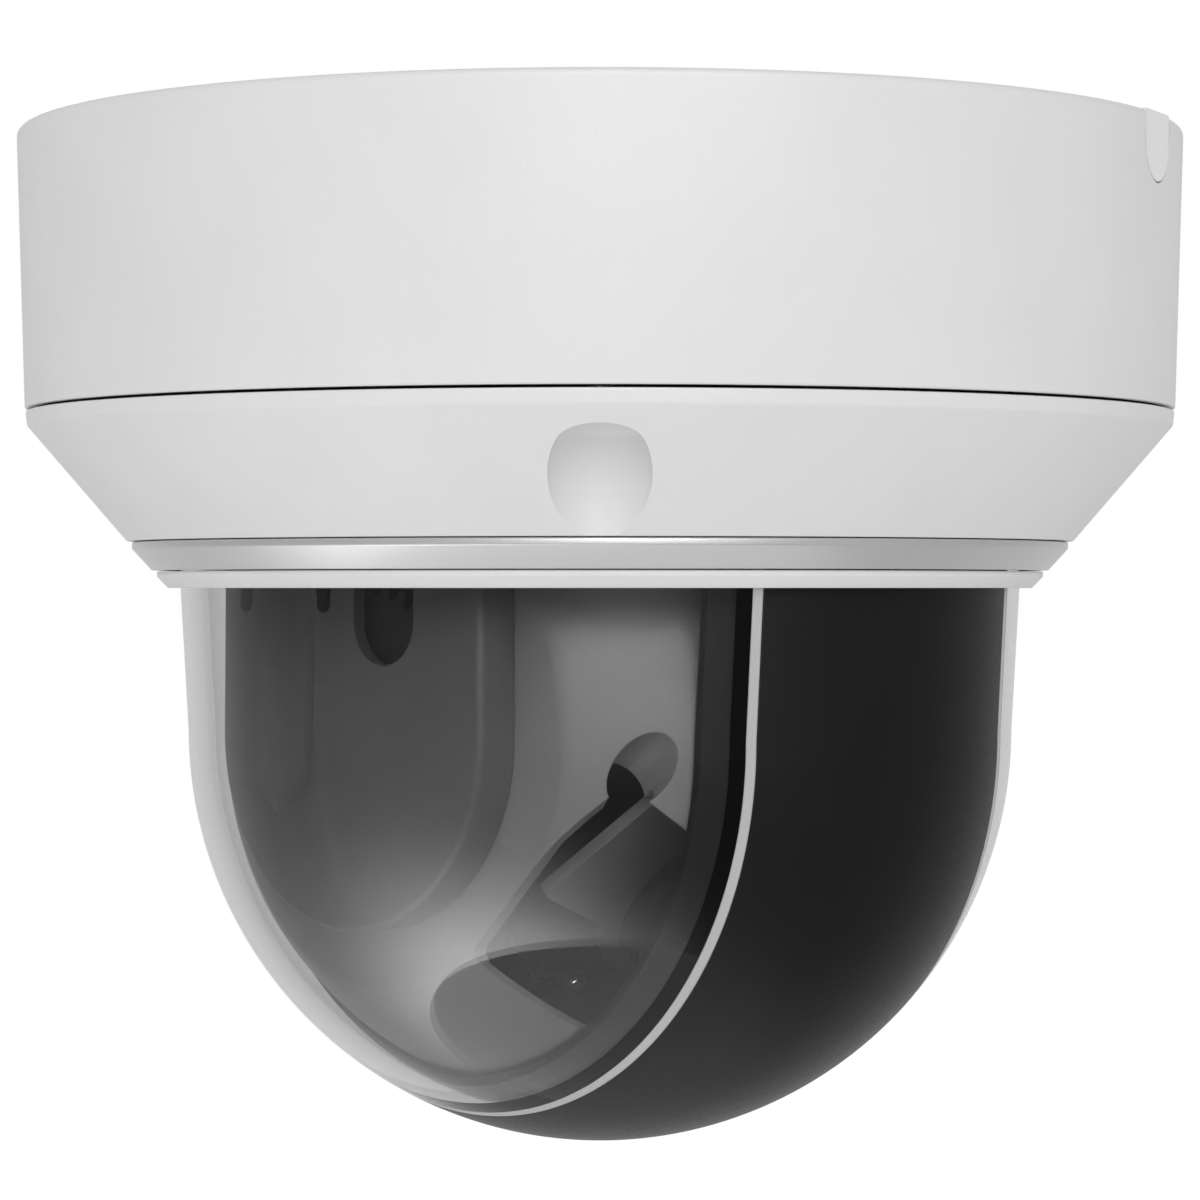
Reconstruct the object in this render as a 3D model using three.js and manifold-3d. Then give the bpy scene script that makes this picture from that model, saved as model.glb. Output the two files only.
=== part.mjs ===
// A compact pan-tilt dome camera that hangs from a ceiling, as an assembly of separate pieces.
// Millimetres, +Z up, the ceiling at z = 0, the front of the fixed base towards -Y.
import * as THREE from "three";
import { mergeVertices } from "three/addons/utils/BufferGeometryUtils.js";
import Module from "manifold-3d";

const wasm = await Module();
wasm.setup();

// ---- driving dimensions ----
const GAP = 0.3; // clearance between pieces that touch
const FINE = 40; // facets round the large visible rings
const COARSE = 16; // facets round screws, posts and shafts

// Fixed base
const BASE_R = 80; // radius at the ceiling
const BASE_R_LOW = 78.9; // radius at the seam, after the draft of the casting
const SEAM_Z = -38; // seam between the base and the lower housing
const SEAM_GAP = 0.4;
const BASE_WALL = 3;
const DECK_TOP = -5.5; // bulkhead across the base, under the mounting plate
const DECK_LOW = -8.5;
const PLATE_R = 76.4;
const PLATE_T = 2.4;
const CABLE_HOLE = { y: 38, r: 15 }; // off centre, so that the plate's centre stays solid

// Lower housing: a cone that carries the trim ring and the lip
const CONE_R_TOP = 78.6;
const CONE_Z_TOP = -40.1;
const CONE_R_LOW = 65.1;
const CONE_Z_LOW = -55.8;
const CONE_WALL = 3.2;
const RING_R = 64.4;
const RING_R_LOW = 61.7;
const RING_Z_LOW = -59.8;
const RING_BORE = 59.4;
const LIP_R = 61;
const LIP_R_LOW = 59.5;
const LIP_Z = -62.2;
const LIP_BORE = 58.4;

// Screw pockets in the cone
const SCREW_COUNT = 3;
const POCKET_R = 6.35;
const POCKET_AT = 71.2; // distance of a pocket's axis from the camera's axis
const POCKET_TOP = -41.9;
const SCREW_SEAT = -39.8;
const SCREW_R = 1.6;
const HEAD_R = 3.3;

// Dome
const DOME_R = 56.7; // radius of the round end
const DOME_Z = -81.5; // its centre, which is also the tilt axis
const DOME_R_LIP = 57.8; // radius where the dome meets the lip
const DOME_TOP = -51;
const DOME_WALL = 2.9;
const DOME_ROWS = 8; // rows of facets from the tilt axis down
const BAND_HALF = 23.6; // half width of the dark band that runs over the dome
const RIM_T = 1.2; // width of the light rim beside the band
const SEAT_HALF = 28; // half width of the band's inner window seat
const SEAT_R = 52.6;
const HEAD_TURN = 45; // degrees that the head is panned at rest, to the right of the front

// Pan drive
const CHASSIS_TOP = -27;
const CHASSIS_LOW = -30;
const CHASSIS_R = 58;
const POST_R = 4;
const POSTS = [
  { r: 52, deg: 5 },
  { r: 52, deg: -75 },
  { r: 44, deg: 205 },
];
const TABLE_TOP = -46;
const TABLE_LOW = -50.5;
const TABLE_R = 56;
const HUB_R = 11;
const HUB_BORE = 6.4;
const HUB_TOP = -24.2;
const PAN_MODULE = 1.8;
const PAN_TEETH = 45;
const PAN_PINION_TEETH = 10;
const PAN_PITCH = 360 / PAN_TEETH;
const PAN_PINION_DEG = HEAD_TURN + 10 * PAN_PITCH; // a whole number of teeth from the head's front
const PRESSURE_DEG = 20;

// Yoke and tilt drive, in the head's own frame: forward is -Y and the tilt axis is X
const BALL_R = 52;
const BALL_WALL = 2.4;
const FLAT_X = 40; // flat side of each yoke shell
const SHELL_X = 27; // inner edge of each yoke shell
const LOBE_X = 14; // inner edge of the lobe under the mouth and of the shell's front
const BROW = { top: 15.5, roll: 13 }; // the mouth ends under this line, seen along the lens axis
const SHELL_TOP = 30.6; // above the tilt axis, just under the turntable
const MOUTH_DIST = 31.2; // the shells' front opening: its upper edge is this far from the tilt axis
const MOUTH_DEG = 45; // and faces this far below the horizon
const MOUTH_LOW_DEG = 57; // its lower edge lies at this angle below the horizon
const POD_HALF = 25;
const POD_X = 46;
const POD_WALL = 1.8;
const TRUNNION_R = 4;
const BUSH_R = 6;
const TILT_MODULE = 1;
const TILT_TEETH = 40;
const TILT_PINION_TEETH = 10;
const TILT_GEAR_T = 3;
const TILT_MOTOR_R = 8;
const TILT_REST = 45; // degrees below the horizon at rest
const ROLL = 25; // the bezel is turned this far about the lens axis

// Camera block, in the tilting frame: the lens looks along -Y
const BEZEL = { half: 30, low: -12.3, top: 9.5, r: 17, bore: 14.3, t: 1.7 };
const BLOCK_HALF = 19;
const BLOCK_FRONT = -28;
const BLOCK_BACK = 14;
const BORE_R = 11.5;
const BARREL_R = 14;
const BARREL_FRONT = -43;
const RODS = [-9, 9]; // the guide rods' places across the block
const ROD_R = 1.6;
const ROD_Z = -21.6; // under the block
const ROD_BACK = 12;
const LUG = { half: 13, t: 3, deep: 5 }; // the lugs that hold the guide rods
const FILTER_WAY = { half: 16, high: 8, front: 7.6, back: 11 };
const SENSOR_WELL = { half: 16.5, front: 10.9 };

// ---- colours ----
const FINISH = {
  white: [0xe4e4e4, 0.55, 0],
  black: [0x141415, 0.45, 0],
  dark: [0x4a4b4d, 0.6, 0],
  clear: [0xf2f5f6, 0.05, 0],
  grey: [0xb9babb, 0.4, 0],
  steel: [0xa8aaad, 0.35, 1],
  aluminium: [0xc2c4c6, 0.3, 1],
  rubber: [0x202020, 0.9, 0],
  green: [0x1f4a33, 0.5, 0],
  acetal: [0xe9e6dc, 0.5, 0],
};

// ---- solids ----
const RAD = Math.PI / 180;

function solidOf(geometry) {
  const bare = geometry.index ? geometry.toNonIndexed() : geometry.clone();
  bare.deleteAttribute("normal");
  bare.deleteAttribute("uv");
  const merged = mergeVertices(bare, 1e-4);
  const index = merged.index.array;
  const kept = [];
  for (let i = 0; i < index.length; i += 3) {
    const [a, b, c] = index.subarray(i, i + 3);
    if (a !== b && b !== c && a !== c) kept.push(a, b, c);
  }
  return new wasm.Manifold(
    new wasm.Mesh({
      numProp: 3,
      vertProperties: merged.attributes.position.array,
      triVerts: new Uint32Array(kept),
    }),
  );
}

function geometryOf(solid) {
  const mesh = solid.getMesh();
  const geometry = new THREE.BufferGeometry();
  const position = new THREE.BufferAttribute(mesh.vertProperties, mesh.numProp);
  geometry.setAttribute("position", position);
  geometry.setIndex(new THREE.BufferAttribute(mesh.triVerts, 1));
  const flat = geometry.toNonIndexed();
  flat.computeVertexNormals();
  return flat;
}

// A solid of revolution about Z from [radius, z] points. A ring's outline closes on itself.
function revolve(points, facets = COARSE) {
  const outline = points.map(([r, z]) => new THREE.Vector2(r, z));
  if (THREE.ShapeUtils.area(outline) < 0) outline.reverse();
  const onAxis = outline.some((p) => p.x === 0);
  if (onAxis) {
    while (outline[0].x !== 0 || outline.at(-1).x !== 0) outline.push(outline.shift());
  } else {
    outline.push(outline[0].clone());
  }
  return solidOf(new THREE.LatheGeometry(outline, facets).rotateX(Math.PI / 2));
}

// A ring or tube about Z.
function ring(inner, outer, low, high, facets = COARSE) {
  return revolve([[inner, low], [outer, low], [outer, high], [inner, high]], facets);
}

// A cylinder about Z.
function disc(radius, low, high, facets = COARSE) {
  const middle = (low + high) / 2;
  const geometry = new THREE.CylinderGeometry(radius, radius, high - low, facets);
  return solidOf(geometry.rotateX(Math.PI / 2)).translate([0, 0, middle]);
}

// A box between two corners.
function box([x0, y0, z0], [x1, y1, z1]) {
  const geometry = new THREE.BoxGeometry(x1 - x0, y1 - y0, z1 - z0);
  return solidOf(geometry).translate([(x0 + x1) / 2, (y0 + y1) / 2, (z0 + z1) / 2]);
}

// A flat outline of Vector2 points, given thickness from low to high along Z.
function slab(points, low, high, holes = []) {
  const shape = new THREE.Shape(points);
  shape.holes = holes.map((hole) => new THREE.Path(hole));
  const geometry = new THREE.ExtrudeGeometry(shape, { depth: high - low, bevelEnabled: false });
  return solidOf(geometry).translate([0, 0, low]);
}

const alongX = (solid) => solid.rotate([0, 90, 0]); // Z becomes X
const alongY = (solid) => solid.rotate([90, 0, 0]); // Z becomes -Y
const ACROSS = [90, 0, 90]; // an XY outline comes to lie in the YZ plane
const turned = (solid, degrees) => solid.rotate([0, 0, degrees]);

function polar(radius, degrees) {
  return [radius * Math.cos(degrees * RAD), radius * Math.sin(degrees * RAD)];
}

function circle(radius, facets) {
  const at = (i) => new THREE.Vector2(...polar(radius, (360 * i) / facets));
  return Array.from({ length: facets }, (_, i) => at(i));
}

// The outline of an involute gear, with one tooth centred on the X axis.
function gearOutline(module, teeth) {
  const pitch = (module * teeth) / 2;
  const base = pitch * Math.cos(PRESSURE_DEG * RAD);
  const tip = pitch + 0.92 * module;
  const root = pitch - 1.2 * module;
  const involute = (a) => Math.tan(a) - a;
  const halfAtPitch = (Math.PI / 2 - 0.16) / teeth;
  const half = (r) => {
    const angle = r > base ? Math.acos(base / r) : 0;
    return halfAtPitch + involute(PRESSURE_DEG * RAD) - involute(angle);
  };
  const flank = [root, pitch, tip];
  const points = [];
  for (let tooth = 0; tooth < teeth; tooth++) {
    const middle = (tooth * 2 * Math.PI) / teeth;
    for (const r of flank) points.push([r, middle - half(r)]);
    for (const r of flank.toReversed()) points.push([r, middle + half(r)]);
  }
  return points.map(([r, a]) => new THREE.Vector2(r * Math.cos(a), r * Math.sin(a)));
}

// A pan-head screw about Z, its head's underside at z = 0 and its shank running up.
function screw(headRadius, shankRadius, headHeight, length) {
  const head = disc(headRadius, -headHeight, 0, 12);
  const shank = disc(shankRadius, -0.1, length, 8);
  const slot = box([-0.4, -headRadius, -headHeight - 1], [0.4, headRadius, -headHeight + 0.9]);
  return head.add(shank).subtract(slot);
}

// ---- scene graph ----
const camera = new THREE.Group(); // the fixed base's frame is the part's frame
const head = new THREE.Group(); // pans about Z
head.rotation.z = HEAD_TURN * RAD;
camera.add(head);
const tilting = new THREE.Group(); // tilts about the head's X axis
tilting.position.z = DOME_Z;
tilting.rotation.x = TILT_REST * RAD;
head.add(tilting);

function piece(parent, name, solid, finish) {
  const [color, roughness, metalness] = FINISH[finish];
  const material = new THREE.MeshStandardMaterial({ color, roughness, metalness });
  if (finish === "clear") {
    material.transparent = true;
    material.opacity = 0.3;
  }
  const mesh = new THREE.Mesh(geometryOf(solid), material);
  mesh.name = name;
  parent.add(mesh);
  return mesh;
}

const screwDegrees = Array.from({ length: SCREW_COUNT }, (_, i) => -90 + (360 * i) / SCREW_COUNT);

// ---- mounting plate and its screws ----
const MOUNT_SCREW_AT = 66;
const mountScrewDegrees = [-30, 90, 210];
const BOLT_HOLE_R = 1.95;

function mountingPlate() {
  let plate = disc(PLATE_R, -PLATE_T, 0, FINE);
  plate = plate.subtract(disc(CABLE_HOLE.r, -PLATE_T - 1, 1, 24).translate([0, CABLE_HOLE.y, 0]));
  for (const degrees of mountScrewDegrees) {
    const [x, y] = polar(MOUNT_SCREW_AT, degrees);
    plate = plate.subtract(disc(BOLT_HOLE_R, -PLATE_T - 1, 1, 8).translate([x, y, 0]));
  }
  for (const degrees of [0, 180, 270]) {
    const [x, y] = polar(42, degrees);
    plate = plate.subtract(disc(BOLT_HOLE_R, -PLATE_T - 1, 1, 8).translate([x, y, 0]));
  }
  return plate;
}
piece(camera, "mounting_plate", mountingPlate(), "steel");
mountScrewDegrees.forEach((degrees, i) => {
  const [x, y] = polar(MOUNT_SCREW_AT, degrees);
  const length = -0.5 - (DECK_LOW - GAP);
  const solid = screw(3, SCREW_R, 2, length).translate([x, y, DECK_LOW - GAP]);
  piece(camera, `mount_screw_${i + 1}`, solid, "steel");
});

// ---- base housing ----
const NOTCH_DEG = -24; // the side cable entry, 66 degrees round from the front
const NOTCH_HALF = 5.35;
const NOTCH_DEPTH = 9.3;
const GROMMET_R = 10.7; // the cable grommet in the deck
const GROMMET_FLANGE_R = 12.6;

// A U-shaped block at the ceiling rim, running outwards from near to far.
function notchBlock(half, depth, near, far) {
  const round = alongX(disc(half, near, far, COARSE)).translate([0, 0, half - depth]);
  const straight = box([near, -half, half - depth], [far, half, half]);
  return turned(round.add(straight), NOTCH_DEG);
}

function baseHousing() {
  const inner = BASE_R - BASE_WALL;
  const innerLow = BASE_R_LOW - BASE_WALL;
  const low = SEAM_Z + SEAM_GAP / 2;
  let shell = revolve(
    [
      [inner, 0],
      [inner, DECK_TOP],
      [0, DECK_TOP],
      [0, DECK_LOW],
      [inner, DECK_LOW],
      [innerLow, low + 1.6],
      [BASE_R_LOW - 1.4, low + 1.6],
      [BASE_R_LOW - 1.4, low],
      [BASE_R_LOW, low],
      [BASE_R, -1],
      [BASE_R - 0.6, 0],
    ],
    FINE,
  );
  for (const degrees of screwDegrees) {
    const [x, y] = polar(POCKET_AT, degrees);
    shell = shell.add(disc(5.2, low + 1.6, DECK_LOW, 16).translate([x, y, 0]));
    shell = shell.subtract(disc(SCREW_R + GAP, low, -24, 8).translate([x, y, 0]));
  }
  const cableWay = disc(GROMMET_R + GAP, DECK_LOW - 1, DECK_TOP + 1, 24);
  shell = shell.subtract(cableWay.translate([0, CABLE_HOLE.y, 0]));
  for (const degrees of mountScrewDegrees) {
    const [x, y] = polar(MOUNT_SCREW_AT, degrees);
    shell = shell.subtract(disc(BOLT_HOLE_R, DECK_LOW - 1, DECK_TOP + 1, 8).translate([x, y, 0]));
  }
  for (const { r, deg } of POSTS) {
    const [x, y] = polar(r, deg);
    shell = shell.subtract(disc(BOLT_HOLE_R, DECK_LOW - 1, DECK_TOP + 1, 8).translate([x, y, 0]));
  }
  return shell.subtract(notchBlock(NOTCH_HALF, NOTCH_DEPTH, BASE_R - 4.5, BASE_R + 3));
}
piece(camera, "base_housing", baseHousing(), "white");

const plug = notchBlock(NOTCH_HALF - 0.2, NOTCH_DEPTH - 0.2, BASE_R - BASE_WALL, BASE_R - 0.25);
const belowCeiling = disc(BASE_R + 5, -20, 0);
piece(camera, "cable_notch_plug", plug.intersect(belowCeiling), "white");

function deckGrommet() {
  const gland = revolve([
    [0, DECK_LOW - 2.5],
    [6, DECK_LOW - 2.5],
    [GROMMET_FLANGE_R, DECK_LOW - GAP],
    [GROMMET_R, DECK_LOW - GAP],
    [GROMMET_R, DECK_TOP + GAP],
    [GROMMET_FLANGE_R, DECK_TOP + GAP],
    [GROMMET_FLANGE_R, DECK_TOP + 1.2],
    [0, DECK_TOP + 1.2],
  ]);
  return gland.translate([0, CABLE_HOLE.y, 0]);
}
piece(camera, "cable_grommet", deckGrommet(), "rubber");

const GASKET = { inner: BASE_R_LOW - 2.8, outer: BASE_R_LOW - 1.6, low: SEAM_Z + 0.2, t: 1.3 };
const gasket = ring(GASKET.inner, GASKET.outer, GASKET.low, GASKET.low + GASKET.t, FINE);
piece(camera, "base_gasket", gasket, "rubber");

// ---- lower housing, trim ring and lip ----
function lowerHousing() {
  const top = SEAM_Z - SEAM_GAP / 2;
  const outer = [
    [CONE_R_TOP + 0.2, top],
    [CONE_R_TOP, CONE_Z_TOP],
    [CONE_R_LOW, CONE_Z_LOW],
  ];
  const filled = revolve([[0, top], ...outer, [0, CONE_Z_LOW]], FINE);
  let shell = revolve(
    [
      ...outer,
      [CONE_R_LOW - CONE_WALL, CONE_Z_LOW],
      [CONE_R_LOW - CONE_WALL, CONE_Z_LOW + 2],
      [CONE_R_TOP - CONE_WALL, CONE_Z_TOP],
      [CONE_R_TOP - CONE_WALL, top],
    ],
    FINE,
  );
  const hollow = disc(CONE_R_LOW - CONE_WALL, CONE_Z_LOW - 1, top + 1, FINE);
  for (const degrees of screwDegrees) {
    const [x, y] = polar(POCKET_AT, degrees);
    const boss = disc(POCKET_R + 2.2, CONE_Z_LOW, top).translate([x, y, 0]);
    shell = shell.add(boss.intersect(filled).subtract(hollow));
  }
  for (const degrees of screwDegrees) {
    const [x, y] = polar(POCKET_AT, degrees);
    const pocket = disc(POCKET_R, CONE_Z_LOW - 5, POCKET_TOP);
    const seat = disc(HEAD_R + 0.7, POCKET_TOP - 1, SCREW_SEAT, 12);
    const hole = disc(SCREW_R + GAP, SCREW_SEAT - 1, top + 1, 8);
    shell = shell.subtract(pocket.add(seat).add(hole).translate([x, y, 0]));
  }
  return shell;
}
piece(camera, "lower_housing", lowerHousing(), "white");

screwDegrees.forEach((degrees, i) => {
  const [x, y] = polar(POCKET_AT, degrees);
  const solid = screw(HEAD_R, SCREW_R, 1.7, 12).translate([x, y, SCREW_SEAT - GAP]);
  piece(camera, `cover_screw_${i + 1}`, solid, "steel");
});

const ringTop = CONE_Z_LOW - 0.15;
const trimRing = revolve(
  [
    [RING_BORE, ringTop],
    [RING_R, ringTop],
    [RING_R, ringTop - 0.9],
    [RING_R_LOW, RING_Z_LOW],
    [RING_BORE, RING_Z_LOW],
  ],
  FINE,
);
piece(camera, "trim_ring", trimRing, "aluminium");

const lipTop = RING_Z_LOW - 0.15;
const lipRing = revolve(
  [
    [LIP_BORE, lipTop],
    [LIP_R, lipTop],
    [LIP_R, lipTop - 0.7],
    [LIP_R_LOW, LIP_Z],
    [LIP_BORE, LIP_Z],
  ],
  FINE,
);
piece(camera, "lip_ring", lipRing, "white");

// ---- electronics on the base ----
const BOARD_TOP = -15;
const BOARD_LOW = -16.6;
const BOARD_R = 64;

function mainBoard() {
  let board = disc(BOARD_R, BOARD_LOW, BOARD_TOP, 40);
  for (const { r, deg } of POSTS) {
    const [x, y] = polar(r, deg);
    board = board.subtract(disc(POST_R + 0.5, BOARD_LOW - 1, BOARD_TOP + 1, 16).translate([x, y, 0]));
  }
  const flange = CONE_R_LOW - 3;
  return board.subtract(box([-flange, 30, BOARD_LOW - 1], [flange, 70, BOARD_TOP + 1]));
}
piece(camera, "main_board", mainBoard(), "green");

const underBoard = BOARD_LOW - 0.2;
function networkJack() {
  const jack = box([-62, -8, underBoard - 18], [-48.5, 8, underBoard]);
  return jack.subtract(box([-60, -6, underBoard - 19], [-51, 6, underBoard - 6]));
}
piece(camera, "network_jack", networkJack(), "steel");
piece(camera, "power_terminal", box([-59, 12, underBoard - 9], [-50, 22, underBoard]), "black");

// Reset button: a sprung plunger in a small switch
const BUTTON = { x: -54, y: -17, r: 1.75, travel: 0.6 };
function resetSwitch() {
  const { x, y } = BUTTON;
  const body = box([x - 3.2, y - 3.2, underBoard - 3.6], [x + 3.2, y + 3.2, underBoard]);
  return body.subtract(disc(BUTTON.r + GAP, underBoard - 5, underBoard - 1, 20).translate([x, y, 0]));
}
piece(camera, "reset_switch", resetSwitch(), "black");
const plunger = disc(BUTTON.r, underBoard - 6.4, underBoard - 1 - BUTTON.travel - GAP, 20);
piece(camera, "reset_button", plunger.translate([BUTTON.x, BUTTON.y, 0]), "grey");

// ---- pan chassis, motor, bearing and slip ring ----
const RACE_R = 19; // outer race of the pan bearing
const RACE_LOW = -33.6;
const RACE_HIGH = -27.4;
const pinionCentre = polar((PAN_MODULE * (PAN_TEETH + PAN_PINION_TEETH)) / 2, PAN_PINION_DEG);

function chassis() {
  let frame = disc(CHASSIS_R, CHASSIS_LOW, CHASSIS_TOP, 40);
  frame = frame.add(disc(24, RACE_LOW - 0.4, CHASSIS_TOP, 24)); // the bearing's housing
  for (const { r, deg } of POSTS) {
    const [x, y] = polar(r, deg);
    const post = disc(POST_R, CHASSIS_TOP - 1, DECK_LOW - GAP, 20);
    const thread = disc(SCREW_R + 0.2, -20, DECK_LOW + 1, 12);
    frame = frame.add(post.translate([x, y, 0])).subtract(thread.translate([x, y, 0]));
  }
  const shaftWay = disc(3.4, CHASSIS_LOW - 1, CHASSIS_TOP + 1, 16);
  const jackSide = box([-70, -70, -40], [-46.5, 70, 0]); // cut away beside the network jack
  frame = frame.subtract(disc(RACE_R + GAP, RACE_LOW - 2, CHASSIS_TOP + 1, 24));
  return frame.subtract(shaftWay.translate([...pinionCentre, 0])).subtract(jackSide);
}
piece(camera, "pan_chassis", chassis(), "dark");
POSTS.forEach(({ r, deg }, i) => {
  const [x, y] = polar(r, deg);
  const solid = screw(2.8, SCREW_R - 0.1, 1.6, 11).rotate([180, 0, 0]);
  piece(camera, `chassis_screw_${i + 1}`, solid.translate([x, y, DECK_TOP + GAP]), "steel");
});

const MOTOR_R = 13.5;
const motor = disc(MOTOR_R, CHASSIS_TOP + GAP, BOARD_LOW - 1.6, 24);
const shaftWell = disc(2.8, CHASSIS_TOP - 1, BOARD_LOW - 4, 16);
piece(camera, "pan_motor", motor.subtract(shaftWell).translate([...pinionCentre, 0]), "steel");

piece(camera, "bearing_outer_race", ring(RACE_R - 3, RACE_R, RACE_LOW, RACE_HIGH, 24), "steel");
piece(head, "bearing_inner_race", ring(HUB_R + GAP, 14.6, RACE_LOW, RACE_HIGH, 24), "steel");

function slipRingStator() {
  const [lidLow, lidHigh] = [HUB_TOP + 0.6, HUB_TOP + 2.4];
  const [footLow, footHigh] = [CHASSIS_TOP + GAP, CHASSIS_TOP + 1.6];
  return revolve([
    [0, lidLow],
    [16.6, lidLow],
    [16.6, footLow],
    [22.5, footLow],
    [22.5, footHigh],
    [18.6, footHigh],
    [18.6, lidHigh],
    [9, lidHigh],
    [9, BOARD_LOW - 1.2],
    [0, BOARD_LOW - 1.2],
  ]);
}
piece(camera, "slip_ring_stator", slipRingStator(), "black");
const rotor = disc(5.6, -44, HUB_TOP + 0.2, COARSE);
piece(head, "slip_ring_rotor", rotor, "grey");
piece(head, "hub_clip", ring(HUB_R + GAP, 14, RACE_HIGH + GAP, RACE_HIGH + 1.8, COARSE), "steel");

// ---- turntable, pan gear and pinion ----
function turntable() {
  const plate = disc(TABLE_R, TABLE_LOW, TABLE_TOP, FINE);
  const hub = disc(HUB_R, TABLE_TOP - 1, HUB_TOP, 24);
  const shoulder = disc(14.4, TABLE_TOP - 1, RACE_LOW - GAP, 24);
  const bore = disc(HUB_BORE, TABLE_LOW - 1, HUB_TOP + 1, COARSE);
  return plate.add(hub).add(shoulder).subtract(bore);
}
piece(head, "turntable", turntable(), "dark");

const GEAR_HIGH = TABLE_TOP + 5;
function panGear() {
  const outline = gearOutline(PAN_MODULE, PAN_TEETH);
  return slab(outline, TABLE_TOP + GAP, GEAR_HIGH, [circle(33, 24)]);
}
piece(head, "pan_gear", panGear(), "acetal");

const pinionBody = new THREE.Group(); // turns about the pan motor's shaft
pinionBody.position.set(...pinionCentre, 0);
const pinionPitch = 360 / PAN_PINION_TEETH;
pinionBody.rotation.z = (PAN_PINION_DEG + 180 + pinionPitch / 2) * RAD;
camera.add(pinionBody);
const panPinionGear = slab(gearOutline(PAN_MODULE, PAN_PINION_TEETH), TABLE_TOP + GAP, GEAR_HIGH);
const panShaft = disc(2.5, GEAR_HIGH - 1, BOARD_LOW - 4.4, 16);
piece(pinionBody, "pan_pinion", panPinionGear.add(panShaft), "acetal");

// ---- dome: dark band, light rims and clear side windows ----
// The dome's outer surface offset inwards, as [radius, z] points from the top down to the axis.
function domeOutline(offset, steps) {
  const radius = DOME_R - offset;
  const points = [[DOME_R_LIP - offset, DOME_TOP], [DOME_R_LIP - offset, LIP_Z]];
  for (let i = 0; i <= steps; i++) {
    const angle = (90 * i * RAD) / steps;
    points.push([i === steps ? 0 : radius * Math.cos(angle), DOME_Z - radius * Math.sin(angle)]);
  }
  return points;
}

function domeShell(outerOffset, innerOffset) {
  const outer = domeOutline(outerOffset, DOME_ROWS);
  const inner = domeOutline(innerOffset, DOME_ROWS).reverse();
  return revolve([...outer, ...inner], FINE);
}

const BIG = 90;
const slice = (x0, x1) => box([x0, -BIG, -BIG * 2], [x1, BIG, BIG]);

function centreShell() {
  const seatOffset = DOME_R - SEAT_R;
  const band = domeShell(0, seatOffset).intersect(slice(-BAND_HALF, BAND_HALF));
  const seat = domeShell(DOME_WALL + GAP, seatOffset).intersect(slice(-SEAT_HALF, SEAT_HALF));
  return band.add(seat);
}
piece(head, "centre_shell", centreShell(), "black");

for (const [side, sign] of [["left", -1], ["right", 1]]) {
  const near = sign * (BAND_HALF + 0.1);
  const far = sign * (BAND_HALF + 0.1 + RIM_T);
  const rim = domeShell(0, DOME_WALL).intersect(slice(Math.min(near, far), Math.max(near, far)));
  piece(head, `window_rim_${side}`, rim, "grey");
  const start = sign * (BAND_HALF + 0.2 + RIM_T);
  const beyond = slice(Math.min(start, sign * BIG), Math.max(start, sign * BIG));
  piece(head, `side_window_${side}`, domeShell(0, DOME_WALL).intersect(beyond), "clear");
}

// ---- yoke shells, gear pods, bushes and tilt motor ----
const headFrame = (solid) => solid.translate([0, 0, DOME_Z]); // from the tilt axis to the head's origin

// The left shell's mouth: below its upper edge, above its lower edge and under the brow.
function mouth() {
  const upper = box([-BIG, -BIG * 2, -BIG], [BIG, -MOUTH_DIST, BIG]).rotate([MOUTH_DEG, 0, 0]);
  const lower = box([-BIG, -BIG, 0], [BIG, 0, BIG]).rotate([MOUTH_LOW_DEG, 0, 0]);
  const brow = box([-BIG * 2, -BIG * 2, -BIG * 2], [BIG * 2, BIG * 2, BROW.top]);
  const underBrow = brow.rotate([0, BROW.roll, 0]).rotate([TILT_REST, 0, 0]);
  return upper.intersect(lower).intersect(underBrow);
}

// The sector under the mouth, where each shell reaches further in, about the tilt axis.
function underMouth() {
  const edges = [MOUTH_LOW_DEG, 90, 180 - MOUTH_LOW_DEG];
  const rim = edges.map((deg) => new THREE.Vector2(...polar(2 * BIG, 180 + deg)));
  return slab([new THREE.Vector2(0, 0), ...rim], -BIG, BIG).rotate(ACROSS);
}

function yokeShell(sign) {
  const ball = solidOf(new THREE.SphereGeometry(BALL_R, 28, 14).rotateX(Math.PI / 2));
  const hollow = solidOf(new THREE.SphereGeometry(BALL_R - BALL_WALL, 28, 14).rotateX(Math.PI / 2));
  const inside = hollow.intersect(box([-(FLAT_X - 3), -BIG, -BIG], [FLAT_X - 3, BIG, BIG]));
  const [x0, x1] = sign < 0 ? [-FLAT_X, -SHELL_X] : [SHELL_X, FLAT_X];
  const [lobe0, lobe1] = sign < 0 ? [-FLAT_X, -LOBE_X] : [LOBE_X, FLAT_X];
  const side = box([x0, -BIG, -BIG], [x1, BIG, SHELL_TOP]);
  const lobe = box([lobe0, -BIG, -BIG], [lobe1, BIG, 0]).intersect(underMouth());
  const front = box([lobe0, -BIG, -BIG], [lobe1, 0, SHELL_TOP]);
  const opening = sign < 0 ? mouth() : mouth().mirror([1, 0, 0]);
  let shell = ball.subtract(inside).intersect(side.add(lobe).add(front)).subtract(opening);
  shell = shell.subtract(alongX(disc(BUSH_R + GAP, -BIG, BIG, COARSE)));
  if (sign < 0) {
    const [py, pz] = tiltPinionAt;
    shell = shell.subtract(alongX(disc(2.2, -BIG, BIG, 16)).translate([0, py, pz]));
  }
  return headFrame(shell);
}

const tiltCentres = (TILT_MODULE * (TILT_TEETH + TILT_PINION_TEETH)) / 2;
const TILT_PINION_DEG = 60; // direction of the tilt pinion from the tilt axis, from the back upwards
const tiltPinionAt = polar(tiltCentres, TILT_PINION_DEG);

// A U-shaped outline in the head's YZ plane, open at the top.
function podBlock(half, near, far, top) {
  const round = alongX(disc(half, near, far, 28));
  return round.add(box([near, -half, 0], [far, half, top]));
}

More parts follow.
